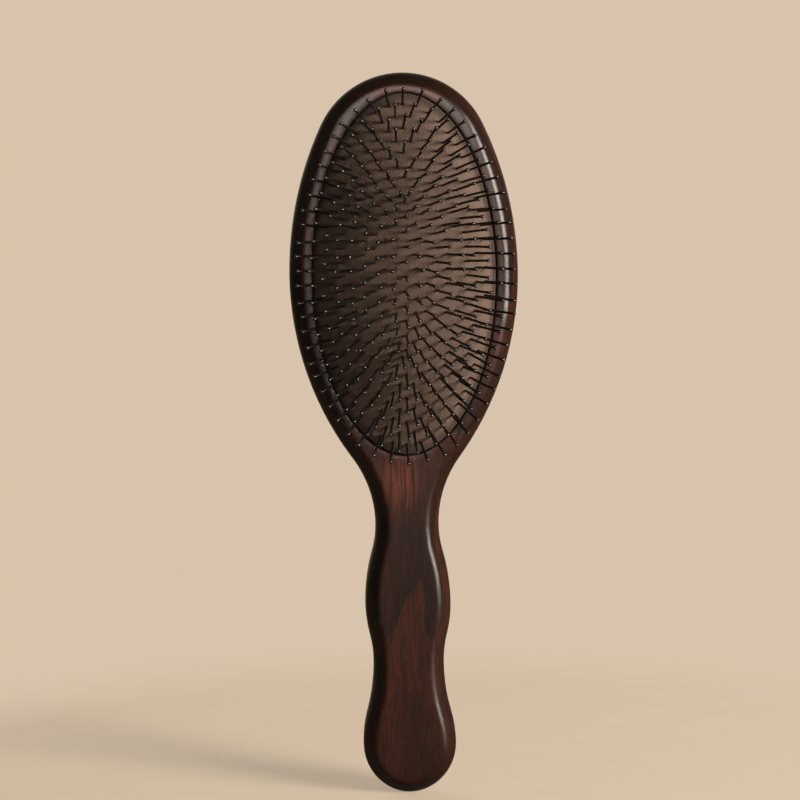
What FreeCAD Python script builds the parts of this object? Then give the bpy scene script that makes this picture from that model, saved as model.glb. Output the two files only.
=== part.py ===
import FreeCAD, Part
import math
import os
import Sketcher

# A large oval cushion brush. X runs across the brush, Z along the handle towards the head,
# and the pins point to -Y. The origin is the middle of the handle, where a hand holds it.
# Stations are measured along the brush from its butt end, depths from the wood's front face.
# The head takes its size and place from the cushion, and each stretch of the handle follows the last.

SIZES = (
    ("butt_reach", "16.4", "butt end to the lower swelling of the handle"),
    ("waist_reach", "27.6", "lower swelling to the waist of the handle"),
    ("grip_reach", "6", "waist to the middle of the grip"),
    ("bulge_reach", "20", "waist to the upper swelling of the handle"),
    ("neck_reach", "26.7", "upper swelling to the narrowest place of the neck"),
    ("pad_reach", "24.1", "narrowest place of the neck to the cushion"),
    ("tip_reach", "6.8", "cushion to the head tip"),
    ("rim_width", "7.7", "wood beside the cushion"),
    ("neck_width", "21", "width of the neck"),
    ("bulge_width", "28.4", "width of the upper swelling"),
    ("waist_width", "23.4", "width of the waist"),
    ("butt_width", "31", "width of the lower swelling"),
    ("head_round_share", "0.78", "radius of the head's round end, in halves of the head's width"),
    ("butt_round_share", "0.93", "radius of the butt's round end, in halves of the butt's width"),
    ("shoulder_share", "0.73", "share of the head's arc between head and neck"),
    ("neck_share", "0.33", "share of the neck's arc between neck and upper swelling"),
    ("bulge_share", "0.5", "share of the swelling's arc between swelling and waist"),
    ("waist_share", "0.6", "share of the waist's arc between waist and lower swelling"),
    ("front_depth", "9", "front face to the middle of the grip"),
    ("head_depth", "18", "thickness of the head"),
    ("head_tip_depth", "12.5", "thickness where the back runs out past the head tip"),
    ("neck_depth", "14.5", "thickness of the neck"),
    ("bulge_depth", "17.5", "thickness of the handle's swelling"),
    ("butt_depth", "13", "thickness where the back runs out past the butt"),
    ("land_above", "32", "flat land on the head's back above the cushion's middle"),
    ("land_below", "28", "flat land on the head's back below the cushion's middle"),
    ("back_neck_above", "7.3", "thinnest place of the neck above its narrowest"),
    ("back_bulge_below", "10", "thickest place of the handle below its upper swelling"),
    ("back_neck_share", "0.5", "share of the head's arc on the back of the neck"),
    ("back_bulge_share", "0.5", "share of the neck's arc on the back of the handle"),
    ("bevel_width", "3.9", "width of the bevel along the front edge"),
    ("bevel_depth", "4.4", "depth of the bevel along the front edge"),
    ("ridge_round", "2.5", "rounding where the front face turns into the bevel"),
    ("side_round", "5", "rounding where the bevel turns into the side"),
    ("back_round", "5.5", "rounding of the back edge"),
    ("rim_round", "0.5", "rounding of the rim beside the cushion"),
    ("pad_width", "60", "width of the cushion"),
    ("pad_length", "118.4", "length of the cushion"),
    ("pad_clearance", "0.3", "gap between the cushion and the wood"),
    ("dome_rise", "9.2", "height of the crown above the wood's front face"),
    ("dome_tuck", "0.7", "how far inside its edge the dome meets the front face"),
    ("membrane", "1.6", "thickness of the cushion's membrane"),
    ("skirt_depth", "4.4", "depth of the cushion's edge in the recess"),
    ("lip_width", "1.4", "reach of the lip into the groove"),
    ("lip_thickness", "1", "thickness of the lip"),
    ("recess_depth", "7.5", "depth of the recess in the head"),
    ("pin_reach", "16.5", "membrane to the end of the ball tip"),
    ("wire_diameter", "0.8", "thickness of the pin wire"),
    ("ball_diameter", "1.3", "diameter of the ball tip"),
    ("pin_head_diameter", "2", "diameter of the pin's flat head"),
    ("pin_head_thickness", "0.4", "thickness of the pin's flat head"),
    ("pin_clearance", "0.3", "gap between a pin and the membrane"),
    ("pin_pitch", "4.65", "distance between pins along a ring"),
    ("edge_margin", "3.4", "outer ring of pins to the cushion's edge"),
    ("middle_row_length", "48", "length of the middle row of pins"),
    ("cut_overrun", "2", "how far cutting shapes run past what they cut"),
)
RING_COUNT = 8
ELLIPSE_STEPS = 720
STRAIGHT_SHARE = 0.999
SKETCH_ORIGIN = -1
SKETCH_AXIS = -2
START, END, CENTRE = 1, 2, 3
PLACES = ("head", "neck", "bulge", "waist", "butt")
SHARE_NAMES = ("shoulder_share", "neck_share", "bulge_share", "waist_share")
STATIONS = {"butt": "Sizes.butt_reach"}
STATIONS["waist"] = f"({STATIONS['butt']} + Sizes.waist_reach)"
STATIONS["grip"] = f"({STATIONS['waist']} + Sizes.grip_reach)"
STATIONS["bulge"] = f"({STATIONS['waist']} + Sizes.bulge_reach)"
STATIONS["neck"] = f"({STATIONS['bulge']} + Sizes.neck_reach)"
STATIONS["head"] = f"({STATIONS['neck']} + Sizes.pad_reach + Sizes.pad_length / 2)"
STATIONS["tip"] = f"({STATIONS['head']} + Sizes.pad_length / 2 + Sizes.tip_reach)"
STATIONS["land_top"] = f"({STATIONS['head']} + Sizes.land_above)"
STATIONS["land_low"] = f"({STATIONS['head']} - Sizes.land_below)"
STATIONS["back_neck"] = f"({STATIONS['neck']} + Sizes.back_neck_above)"
STATIONS["back_bulge"] = f"({STATIONS['bulge']} - Sizes.back_bulge_below)"
WIDTHS = {name: f"Sizes.{name}_width" for name in PLACES}
WIDTHS["head"] = "(Sizes.pad_width + 2 * Sizes.rim_width)"
X_WAY = FreeCAD.Vector(1, 0, 0)
Y_WAY = FreeCAD.Vector(0, 1, 0)
Z_WAY = FreeCAD.Vector(0, 0, 1)

doc = FreeCAD.newDocument("detangling_brush")
sheet = doc.addObject("Spreadsheet::Sheet", "Sizes")
for row, (alias, value, note) in enumerate(SIZES, start=1):
    sheet.set(f"A{row}", note)
    sheet.set(f"B{row}", value)
    sheet.setAlias(f"B{row}", alias)
doc.recompute()


def size(alias):
    return float(sheet.get(alias))


def formula_value(formula):
    return float(sheet.evalExpression(formula))


def station(name):
    return formula_value(STATIONS[name])


def spot(across, along):
    return FreeCAD.Vector(across, along, 0)


def bind(thing, **formulas):
    for name, formula in formulas.items():
        thing.setExpression(name, formula)


# Sketches made of tangent arcs

class Outline:
    """A sketch whose pieces are drawn from top to bottom: each is its index, upper end and lower end."""

    def __init__(self, body, name, plane, across, out):
        self.sketch = body.newObject("Sketcher::SketchObject", name)
        planes = [feature for feature in body.Origin.OriginFeatures if feature.Role == plane]
        self.sketch.AttachmentSupport = [(planes[0], "")]
        self.sketch.MapMode = "FlatFace"
        self.sketch.setExpression("AttachmentOffset.Base.x", across)
        self.sketch.setExpression("AttachmentOffset.Base.y", f"-{STATIONS['grip']}")
        self.sketch.setExpression("AttachmentOffset.Base.z", out)

    def arc(self, centre, upper, lower):
        first = upper - centre
        second = lower - centre
        start = math.atan2(first.y, first.x)
        turn = math.atan2(first.x * second.y - first.y * second.x, first.dot(second))
        circle = Part.Circle(centre, Z_WAY, first.Length)
        low, high = sorted((start, start + turn))
        index = self.sketch.addGeometry(Part.ArcOfCircle(circle, low, high))
        return (index, START, END) if turn > 0 else (index, END, START)

    def line(self, upper, lower):
        return (self.sketch.addGeometry(Part.LineSegment(upper, lower)), START, END)

    def rule(self, kind, *places):
        self.sketch.addConstraint(Sketcher.Constraint(kind, *places))

    def join(self, kind, *pieces):
        for above, below in zip(pieces, pieces[1:]):
            self.rule(kind, above[0], above[2], below[0], below[1])

    def measure(self, formula, kind, *places):
        value = float(self.sketch.evalExpression(formula))
        index = self.sketch.addConstraint(Sketcher.Constraint(kind, *places, value))
        self.sketch.setExpression(f"Constraints[{index}]", formula)

    def across(self, formula, index, end):
        self.measure(formula, "DistanceX", SKETCH_ORIGIN, START, index, end)

    def along(self, formula, index, end):
        self.measure(formula, "DistanceY", SKETCH_ORIGIN, START, index, end)


def round_end(widest, end, end_share):
    """Both centres and the meeting point of a side arc and an end arc, from a widest place to the axis."""
    end_radius = end_share * widest.x
    reach = abs(end - widest.y)
    way = math.copysign(1, end - widest.y)
    side_radius = (widest.x ** 2 + reach ** 2) / 2 - reach * end_radius
    side_radius /= widest.x - end_radius
    side_centre = spot(widest.x - side_radius, widest.y)
    end_centre = spot(0, end - way * end_radius)
    outward = (end_centre - side_centre) * (1 / (side_radius - end_radius))
    return side_centre, end_centre, end_centre + outward * end_radius


def s_curve(upper, lower, upper_share):
    """Both centres and the meeting point of two arcs between two places that run along the brush."""
    step = lower - upper
    reach = (step.x ** 2 + step.y ** 2) / (2 * step.x)
    upper_centre = upper + spot(upper_share * reach, 0)
    lower_centre = lower - spot(reach - upper_share * reach, 0)
    meeting = upper_centre + (lower_centre - upper_centre) * upper_share
    return upper_centre, lower_centre, meeting


# The wooden body

def front_outline(body):
    """Half of the wood's outline, closed along the brush's axis."""
    outline = Outline(body, "front_outline", "XZ_Plane", "0", "Sizes.front_depth")
    tops = {name: spot(formula_value(WIDTHS[name]) / 2, station(name)) for name in PLACES}
    head_tip = spot(0, station("tip"))
    butt_end = spot(0, 0)

    side, end, meeting = round_end(tops["head"], head_tip.y, size("head_round_share"))
    pieces = [outline.arc(end, head_tip, meeting), outline.arc(side, meeting, tops["head"])]
    for upper, lower, share in zip(PLACES, PLACES[1:], SHARE_NAMES):
        first, second, meeting = s_curve(tops[upper], tops[lower], size(share))
        pieces.append(outline.arc(first, tops[upper], meeting))
        pieces.append(outline.arc(second, meeting, tops[lower]))
    side, end, meeting = round_end(tops["butt"], butt_end.y, size("butt_round_share"))
    pieces += [outline.arc(side, tops["butt"], meeting), outline.arc(end, meeting, butt_end)]
    axis = outline.line(butt_end, head_tip)

    outline.join("Tangent", *pieces)
    outline.join("Coincident", pieces[-1], axis, pieces[0])
    outline.rule("Coincident", axis[0], START, SKETCH_ORIGIN, START)
    outline.rule("PointOnObject", axis[0], END, SKETCH_AXIS)
    outline.along(STATIONS["tip"], axis[0], END)
    for piece, name in ((pieces[0], "head"), (pieces[-1], "butt")):
        outline.rule("PointOnObject", piece[0], CENTRE, SKETCH_AXIS)
        outline.measure(f"Sizes.{name}_round_share * {WIDTHS[name]} / 2", "Radius", piece[0])
    for name, (index, _, lower_end) in zip(PLACES, pieces[1::2]):
        outline.rule("Horizontal", index, CENTRE, index, lower_end)
        outline.across(f"{WIDTHS[name]} / 2", index, lower_end)
        outline.along(STATIONS[name], index, lower_end)
    for upper, lower, share, (index, _, _) in zip(PLACES, PLACES[1:], SHARE_NAMES, pieces[2::2]):
        narrowing = f"({WIDTHS[upper]} - {WIDTHS[lower]})"
        length = f"({STATIONS[upper]} - {STATIONS[lower]})"
        reach = f"({narrowing}^2 / 4 + {length}^2) / abs({narrowing})"
        outline.measure(f"Sizes.{share} * {reach}", "Radius", index)
    return outline.sketch


def back_outline(body):
    """The waste behind the wood's back, seen from the side."""
    outline = Outline(body, "back_outline", "YZ_Plane", "-Sizes.front_depth", "0")
    overrun = size("cut_overrun")
    head_run = spot(size("head_tip_depth"), station("tip") + overrun)
    land_top = spot(size("head_depth"), station("land_top"))
    land_low = spot(size("head_depth"), station("land_low"))
    neck = spot(size("neck_depth"), station("back_neck"))
    bulge = spot(size("bulge_depth"), station("back_bulge"))
    butt_run = spot(size("butt_depth"), -overrun)
    waste = size("bulge_depth") + size("head_depth")

    def running_out(place, run):
        """Centre of the arc that leaves a place on the back and passes through its run-out."""
        fall = run - place
        return place + spot((fall.x ** 2 + fall.y ** 2) / (2 * fall.x), 0)

    upper_s = s_curve(land_low, neck, size("back_neck_share"))
    lower_s = s_curve(neck, bulge, size("back_bulge_share"))
    top = outline.arc(running_out(land_top, head_run), head_run, land_top)
    land = outline.line(land_top, land_low)
    head_arc = outline.arc(upper_s[0], land_low, upper_s[2])
    neck_above = outline.arc(upper_s[1], upper_s[2], neck)
    neck_below = outline.arc(lower_s[0], neck, lower_s[2])
    bulge_arc = outline.arc(lower_s[1], lower_s[2], bulge)
    bottom = outline.arc(running_out(bulge, butt_run), bulge, butt_run)
    low_line = outline.line(butt_run, spot(waste, butt_run.y))
    far_line = outline.line(spot(waste, butt_run.y), spot(waste, head_run.y))
    high_line = outline.line(spot(waste, head_run.y), head_run)

    outline.join("Tangent", top, land, head_arc, neck_above, neck_below, bulge_arc, bottom)
    outline.join("Coincident", bottom, low_line, far_line, high_line, top)
    outline.rule("Vertical", land[0])
    outline.rule("Horizontal", low_line[0])
    outline.rule("Vertical", far_line[0])
    outline.rule("Horizontal", high_line[0])
    outline.across("Sizes.head_tip_depth", high_line[0], END)
    outline.along(f"{STATIONS['tip']} + Sizes.cut_overrun", high_line[0], END)
    outline.across("Sizes.head_depth", land[0], START)
    outline.along(STATIONS["land_top"], land[0], START)
    outline.along(STATIONS["land_low"], land[0], END)
    for piece, name in ((neck_above, "neck"), (bulge_arc, "bulge")):
        outline.rule("Horizontal", piece[0], CENTRE, piece[0], piece[2])
        outline.across(f"Sizes.{name}_depth", piece[0], piece[2])
        outline.along(STATIONS[f"back_{name}"], piece[0], piece[2])
    stretches = (
        (head_arc, "head", "neck", "land_low", "back_neck"),
        (neck_below, "neck", "bulge", "back_neck", "back_bulge"),
    )
    for piece, upper, lower, upper_end, lower_end in stretches:
        step = f"(Sizes.{upper}_depth - Sizes.{lower}_depth)"
        length = f"({STATIONS[upper_end]} - {STATIONS[lower_end]})"
        reach = f"({step}^2 + {length}^2) / (2 * abs({step}))"
        outline.measure(f"Sizes.{lower_end}_share * {reach}", "Radius", piece[0])
    outline.across("Sizes.butt_depth", low_line[0], START)
    outline.measure("Sizes.cut_overrun", "DistanceY", low_line[0], START, SKETCH_ORIGIN, START)
    outline.across("Sizes.bulge_depth + Sizes.head_depth", far_line[0], START)
    return outline.sketch


def oval(body, name, width, length, depth):
    """An oval round the cushion's middle, at a depth behind the wood's front face."""
    outline = Outline(body, name, "XZ_Plane", "0", f"Sizes.front_depth - ({depth})")
    centre = spot(0, station("head"))
    half_length = formula_value(length) / 2
    half_width = formula_value(width) / 2
    curve = Part.Ellipse(centre + spot(0, half_length), centre + spot(half_width, 0), centre)
    index = outline.sketch.addGeometry(curve)
    outline.sketch.exposeInternalGeometry(index)
    long_axis = index + 1
    short_axis = index + 2
    outline.rule("PointOnObject", index, CENTRE, SKETCH_AXIS)
    outline.along(STATIONS["head"], index, CENTRE)
    outline.rule("Vertical", long_axis)
    outline.measure(length, "Distance", long_axis)
    outline.measure(width, "Distance", short_axis)
    return outline.sketch


def edge_names(shape, wanted):
    return [f"Edge{number}" for number, edge in enumerate(shape.Edges, start=1) if wanted(edge)]


def rounded(body, base, name, radius, wanted):
    """Rounds the wanted edges of a feature."""
    doc.recompute()
    fillet = body.newObject("PartDesign::Fillet", name)
    fillet.Base = (base, edge_names(base.Shape, wanted))
    bind(fillet, Radius=f"Sizes.{radius}")
    return fillet


def bevelled(body, base, name, width, depth, wanted):
    """Bevels the wanted edges of a feature, by a width on the front face and a depth on the side."""
    doc.recompute()
    bevel = body.newObject("PartDesign::Chamfer", name)
    bevel.Base = (base, edge_names(base.Shape, wanted))
    bevel.ChamferType = "Two distances"
    bevel.FlipDirection = True
    bind(bevel, Size=f"Sizes.{width}", Size2=f"Sizes.{depth}")
    return bevel


def pocket(body, profile, length):
    """Cuts a profile into the wood, away from the front, and makes sure that wood is gone."""
    doc.recompute()
    before = body.Tip.Shape.Volume
    cut = body.newObject("PartDesign::Pocket", f"{profile.Name}_cut")
    cut.Profile = profile
    cut.Reversed = False
    bind(cut, Length=length)
    doc.recompute()
    if cut.Shape.Volume >= before:
        raise RuntimeError(f"{cut.Name} cuts nothing")
    return cut


def is_straight(edge, axis):
    """Whether an edge is a straight line along one axis."""
    return isinstance(edge.Curve, Part.Line) and abs(edge.Curve.Direction.dot(axis)) > STRAIGHT_SHARE


def wooden_body():
    body = doc.addObject("PartDesign::Body", "wooden_body")
    doc.recompute()
    blank = body.newObject("PartDesign::Pad", "half_blank")
    blank.Profile = front_outline(body)
    blank.Reversed = True
    bind(blank, Length="max(Sizes.head_depth; Sizes.bulge_depth) + Sizes.cut_overrun")
    doc.recompute()
    whole = body.newObject("PartDesign::Mirrored", "whole_blank")
    whole.Originals = [blank]
    middle = [feature for feature in body.Origin.OriginFeatures if feature.Role == "YZ_Plane"]
    whole.MirrorPlane = (middle[0], [""])
    body.Tip = whole
    doc.recompute()
    shaped = body.newObject("PartDesign::Pocket", "shaped_back")
    shaped.Profile = back_outline(body)
    shaped.Type = "ThroughAll"
    shaped.SideType = "Symmetric"
    doc.recompute()

    front = -size("front_depth")
    slack = size("pad_clearance")

    def level(edge, depth):
        """Whether an edge lies at a depth behind the front face."""
        box = edge.BoundBox
        return abs(box.YMin - front - depth) < slack and abs(box.YMax - front - depth) < slack

    def on_front(edge):
        return level(edge, 0)

    def on_side(edge):
        return level(edge, size("bevel_depth"))

    def round_back(edge):
        return not on_front(edge) and not is_straight(edge, Y_WAY) and not is_straight(edge, X_WAY)

    backed = rounded(body, shaped, "rounded_back", "back_round", round_back)
    bevel = bevelled(body, backed, "bevelled_front", "bevel_width", "bevel_depth", on_front)
    ridge = rounded(body, bevel, "rounded_ridge", "ridge_round", on_front)
    rounded(body, ridge, "rounded_side", "side_round", on_side)
    inside = "2 * Sizes.pad_clearance"
    recess = oval(body, "recess", f"Sizes.pad_width + {inside}", f"Sizes.pad_length + {inside}", "0")
    pocket(body, recess, "Sizes.recess_depth")
    groove_reach = f"2 * Sizes.lip_width + {inside}"
    groove_depth = "Sizes.skirt_depth - Sizes.lip_thickness - Sizes.pad_clearance"
    groove_width = f"Sizes.pad_width + {groove_reach}"
    groove_length = f"Sizes.pad_length + {groove_reach}"
    groove = oval(body, "groove", groove_width, groove_length, groove_depth)
    grooved = pocket(body, groove, f"Sizes.lip_thickness + {inside}")

    def recess_edge(edge):
        return on_front(edge) and isinstance(edge.Curve, Part.Ellipse)

    rounded(body, grooved, "rounded_rim", "rim_round", recess_edge)
    doc.recompute()
    return body


# The cushion: a dome curved across and along, with a skirt and a lip that sits in the wood's groove

ACROSS_RADIUS = "((Sizes.pad_width / 2 - Sizes.dome_tuck)^2 + Sizes.dome_rise^2) / (2 * Sizes.dome_rise)"
ALONG_RADIUS = "((Sizes.pad_length / 2 - Sizes.dome_tuck)^2 + Sizes.dome_rise^2) / (2 * Sizes.dome_rise)"
PAD_HEIGHT = f"{STATIONS['head']} - {STATIONS['grip']}"
DOME_CENTRE = f"{ALONG_RADIUS} - Sizes.dome_rise - Sizes.front_depth"


def dome_body(name, inset):
    """A ring-shaped body whose outer side is the dome, or the dome less an inset."""
    body = doc.addObject("Part::Torus", name)
    body.Placement.Rotation = FreeCAD.Rotation(Z_WAY, X_WAY)
    bind(body, Radius1=f"{ALONG_RADIUS} - {ACROSS_RADIUS}", Radius2=f"{ACROSS_RADIUS} - ({inset})")
    body.setExpression("Placement.Base.y", DOME_CENTRE)
    body.setExpression("Placement.Base.z", PAD_HEIGHT)
    return body


def oval_block(name, growth, deep, height):
    """An upright oval block round the cushion's middle, from a depth towards the pins."""
    curve = doc.addObject("Part::Ellipse", f"{name}_oval")
    curve.Placement.Rotation = FreeCAD.Rotation(Z_WAY, -X_WAY, -Y_WAY, "ZXY")
    bind(curve, MajorRadius=f"Sizes.pad_length / 2 + ({growth})")
    bind(curve, MinorRadius=f"Sizes.pad_width / 2 + ({growth})")
    curve.setExpression("Placement.Base.y", f"{deep} - Sizes.front_depth")
    curve.setExpression("Placement.Base.z", PAD_HEIGHT)
    block = doc.addObject("Part::Extrusion", name)
    block.Base = curve
    block.DirMode = "Custom"
    block.Dir = -Y_WAY
    block.Solid = True
    bind(block, LengthFwd=height)
    return block


def boolean(kind, name, base, tool):
    result = doc.addObject(f"Part::{kind}", name)
    result.Base = base
    result.Tool = tool
    return result


def cushion(holes):
    """The membrane with its skirt and lip, pierced for the pins."""
    clear_of_crown = "Sizes.skirt_depth + Sizes.dome_rise + 2 * Sizes.cut_overrun"
    below_skirt = "Sizes.skirt_depth + Sizes.cut_overrun"
    outer_block = oval_block("outer_block", "0", "Sizes.skirt_depth", clear_of_crown)
    inner_block = oval_block("inner_block", "-Sizes.membrane", below_skirt, clear_of_crown)
    lip_block = oval_block("lip_block", "Sizes.lip_width", "Sizes.skirt_depth", "Sizes.lip_thickness")
    outside = boolean("Common", "dome_outside", outer_block, dome_body("outer_dome", "0"))
    inside = boolean("Common", "dome_inside", inner_block, dome_body("inner_dome", "Sizes.membrane"))
    lipped = boolean("Fuse", "lipped_dome", outside, lip_block)
    hollow = boolean("Cut", "hollow_dome", lipped, inside)
    pierced = boolean("Cut", "cushion", hollow, holes)
    doc.recompute()
    return pierced


# The pins, set square to the dome in oval rings, each ring half a pitch out of step with its neighbours

def dome_spot(across, along):
    """The point of the dome over a place on the pad and the direction that is square to it."""
    across_radius = formula_value(ACROSS_RADIUS)
    side_tilt = math.asin(across / across_radius)
    reach = formula_value(ALONG_RADIUS) - across_radius + across_radius * math.cos(side_tilt)
    end_tilt = math.asin(along / reach)
    way = FreeCAD.Vector(0, -math.cos(end_tilt), math.sin(end_tilt)) * math.cos(side_tilt)
    way += X_WAY * math.sin(side_tilt)
    centre = Y_WAY * formula_value(DOME_CENTRE) + Z_WAY * formula_value(PAD_HEIGHT)
    root = centre + FreeCAD.Vector(across, -reach * math.cos(end_tilt), along)
    return FreeCAD.Placement(root, FreeCAD.Rotation(Z_WAY, way))


def evenly_round(half_width, half_length, offset_share):
    """Places at the pin pitch round an oval, from its lower end."""
    turns = [2 * math.pi * step / ELLIPSE_STEPS for step in range(ELLIPSE_STEPS + 1)]
    path = [spot(half_width * math.sin(turn), -half_length * math.cos(turn)) for turn in turns]
    run = [0]
    for before, after in zip(path, path[1:]):
        run.append(run[-1] + (after - before).Length)
    count = 2 * round(run[-1] / size("pin_pitch") / 2)
    places = []
    for number in range(count):
        wanted = run[-1] * (number + offset_share) / count
        step = next(index for index, length in enumerate(run) if length > wanted)
        back_share = (run[step] - wanted) / (run[step] - run[step - 1])
        places.append(path[step] + (path[step - 1] - path[step]) * back_share)
    return places


def ring_places(number):
    """Places of the pins of one ring on the pad, or of the middle row after the last ring."""
    inward_share = number / RING_COUNT
    across_radius = formula_value(ACROSS_RADIUS)
    along_radius = formula_value(ALONG_RADIUS)
    side_tilt = math.asin((size("pad_width") / 2 - size("edge_margin")) / across_radius)
    end_tilt = math.asin((size("pad_length") / 2 - size("edge_margin")) / along_radius)
    row_tilt = math.asin(size("middle_row_length") / 2 / along_radius)
    half_width = across_radius * math.sin(side_tilt * (1 - inward_share))
    half_length = along_radius * math.sin(end_tilt + (row_tilt - end_tilt) * inward_share)
    if number < RING_COUNT:
        return evenly_round(half_width, half_length, (number % 2) / 2)
    gaps = round(size("middle_row_length") / size("pin_pitch"))
    return [spot(0, half_length * (2 * step / gaps - 1)) for step in range(gaps + 1)]


def pin_pattern():
    """One wire pin with its flat head, standing on the membrane's outer side."""
    head_front = "-Sizes.membrane - Sizes.pin_clearance"
    ball_middle = "Sizes.pin_reach - Sizes.ball_diameter / 2"
    seat = f"{ball_middle} - sqrt(Sizes.ball_diameter^2 - Sizes.wire_diameter^2) / 2"
    head = doc.addObject("Part::Cylinder", "pin_head")
    bind(head, Radius="Sizes.pin_head_diameter / 2", Height="Sizes.pin_head_thickness")
    head.setExpression("Placement.Base.z", f"{head_front} - Sizes.pin_head_thickness")
    wire = doc.addObject("Part::Cylinder", "pin_wire")
    bind(wire, Radius="Sizes.wire_diameter / 2", Height=f"{seat} - ({head_front})")
    wire.setExpression("Placement.Base.z", head_front)
    return boolean("Fuse", "pin_pattern", head, wire)


def tip_pattern():
    """One ball tip, cut flat where it sits on the end of the wire."""
    ball = doc.addObject("Part::Sphere", "tip_pattern")
    bind(ball, Radius="Sizes.ball_diameter / 2", Angle1="-acos(Sizes.wire_diameter / Sizes.ball_diameter)")
    ball.setExpression("Placement.Base.z", "Sizes.pin_reach - Sizes.ball_diameter / 2")
    return ball


def hole_pattern():
    """The hole that one pin needs in the membrane."""
    hole = doc.addObject("Part::Cylinder", "hole_pattern")
    bind(hole, Radius="Sizes.wire_diameter / 2 + Sizes.pin_clearance")
    bind(hole, Height="Sizes.membrane + 2 * Sizes.cut_overrun")
    hole.setExpression("Placement.Base.z", "-Sizes.membrane - Sizes.cut_overrun")
    return hole


def group(name, pattern, places):
    """Separate copies of a pattern, one at each place."""
    copies = []
    for place in places:
        copy = pattern.Shape.copy()
        copy.Placement = place.multiply(pattern.Placement)
        copies.append(copy)
    feature = doc.addObject("Part::Feature", name)
    feature.Shape = Part.Compound(copies)
    return feature


def main():
    nodes = [wooden_body()]
    pin = pin_pattern()
    tip = tip_pattern()
    hole = hole_pattern()
    doc.recompute()
    every_place = []
    for number in range(RING_COUNT + 1):
        name = f"ring_{number + 1}" if number < RING_COUNT else "middle_row"
        places = [dome_spot(place.x, place.y) for place in ring_places(number)]
        nodes.append(group(f"pin_{name}", pin, places))
        nodes.append(group(f"tip_{name}", tip, places))
        every_place += places
        height = sum(-size("front_depth") - place.Base.y for place in places) / len(places)
        print(f"{name}: {len(places)} pins, mean height over the wood {height:.3f} mm")
    nodes.append(cushion(group("pin_holes", hole, every_place)))
    print(f"{len(every_place)} pins in all")

    doc.recompute()
    for thing in doc.Objects:
        if "Invalid" in thing.State or "Error" in thing.State:
            raise RuntimeError(f"{thing.Label} failed: {thing.State}")
    for node in nodes:
        if node.Shape.isNull() or not node.Shape.isValid():
            raise RuntimeError(f"{node.Label} has no valid shape")
    os.makedirs("parts", exist_ok=True)
    for node in nodes:
        node.Shape.exportStep(f"parts/{node.Label}.step")


main()
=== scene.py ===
import math

import bmesh
import bpy
import numpy as np
from bpy.props import FloatProperty, FloatVectorProperty, IntProperty, PointerProperty
from mathutils import Euler, Matrix, Vector


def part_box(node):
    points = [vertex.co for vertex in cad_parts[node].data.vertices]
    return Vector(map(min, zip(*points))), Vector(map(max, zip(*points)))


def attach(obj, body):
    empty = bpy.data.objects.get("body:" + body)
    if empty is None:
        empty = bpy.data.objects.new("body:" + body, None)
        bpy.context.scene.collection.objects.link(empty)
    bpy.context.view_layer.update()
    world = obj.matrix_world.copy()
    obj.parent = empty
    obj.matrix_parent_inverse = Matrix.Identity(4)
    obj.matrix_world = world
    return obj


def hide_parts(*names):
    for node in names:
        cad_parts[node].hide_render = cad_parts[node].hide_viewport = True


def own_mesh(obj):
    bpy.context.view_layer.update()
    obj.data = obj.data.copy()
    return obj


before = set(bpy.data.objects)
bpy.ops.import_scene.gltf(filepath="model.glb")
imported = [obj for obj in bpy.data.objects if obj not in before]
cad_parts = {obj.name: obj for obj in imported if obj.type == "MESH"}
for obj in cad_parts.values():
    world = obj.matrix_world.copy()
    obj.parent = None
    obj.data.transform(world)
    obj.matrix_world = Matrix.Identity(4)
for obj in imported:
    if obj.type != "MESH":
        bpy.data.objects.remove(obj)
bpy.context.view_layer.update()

bl_info = {
    "name": "Detangling Brush",
    "version": (1, 0, 0),
    "blender": (4, 5, 0),
    "location": "View3D > Sidebar > Brush",
    "description": "Wooden cushion brush with ball-tipped wire pins",
    "category": "Add Mesh",
}

MM = 0.001
RINGS = tuple(f"ring_{number}" for number in range(1, 9)) + ("middle_row",)
WOOD_LOW, WOOD_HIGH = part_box("wooden_body")


# Settings

def length(label, description, default, **limits):
    """A size in metres, given in millimetres."""
    return FloatProperty(name=label, description=description, default=default * MM,
                         unit="LENGTH", precision=5, **limits)


def number(label, description, default, **limits):
    """A plain number, an angle or a power."""
    return FloatProperty(name=label, description=description, default=default, **limits)


def colour(label, description, default):
    return FloatVectorProperty(name=label, description=description, default=default,
                               subtype="COLOR", size=3, min=0, max=1)


def spot(label, description, default):
    """A place in metres, given in millimetres."""
    return FloatVectorProperty(name=label, description=description, default=[part * MM for part in default],
                               subtype="XYZ", unit="LENGTH", size=3, precision=4)


class WoodSettings(bpy.types.PropertyGroup):
    dark: colour("Dark", "Darkest bands of the stained wood", (0.0080, 0.0030, 0.0020))
    brown: colour("Brown", "Middle tone of the stained wood", (0.0220, 0.0066, 0.0038))
    red: colour("Red", "Warm bands of the stained wood", (0.0560, 0.0122, 0.0054))
    amber: colour("Amber", "Pale streaks below the cushion", (0.130, 0.0290, 0.0110))
    band_length: length("Band Length", "Distance between growth rings along the handle", 95.0)
    amber_place: spot("Amber Place", "Middle of the pale streaks", (-2.5, -9.0, 60.0))
    amber_reach: spot("Amber Reach", "How far the pale streaks reach", (10.0, 30.0, 20.0))
    arch_height: length("Arch Height", "Place of the pointed arch in the handle's figure", 18.0)
    arch_offset: length("Arch Offset", "How far right of the middle the arch stands", 4.0)
    arch_fall: length("Arch Fall", "Height of the arch over its feet", 18.0)
    arch_left: length("Arch Left", "Reach of the arch's left foot", 12.0)
    arch_right: length("Arch Right", "Reach of the arch's right foot", 5.6)
    slant: number("Slant", "How far the rings run along the handle for each step into the wood", 16.0)
    roughness: number("Roughness", "Roughness of the wood below its lacquer", 0.42, subtype="FACTOR")
    lacquer: number("Lacquer", "Roughness of the clear lacquer", 0.26, subtype="FACTOR")


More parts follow.
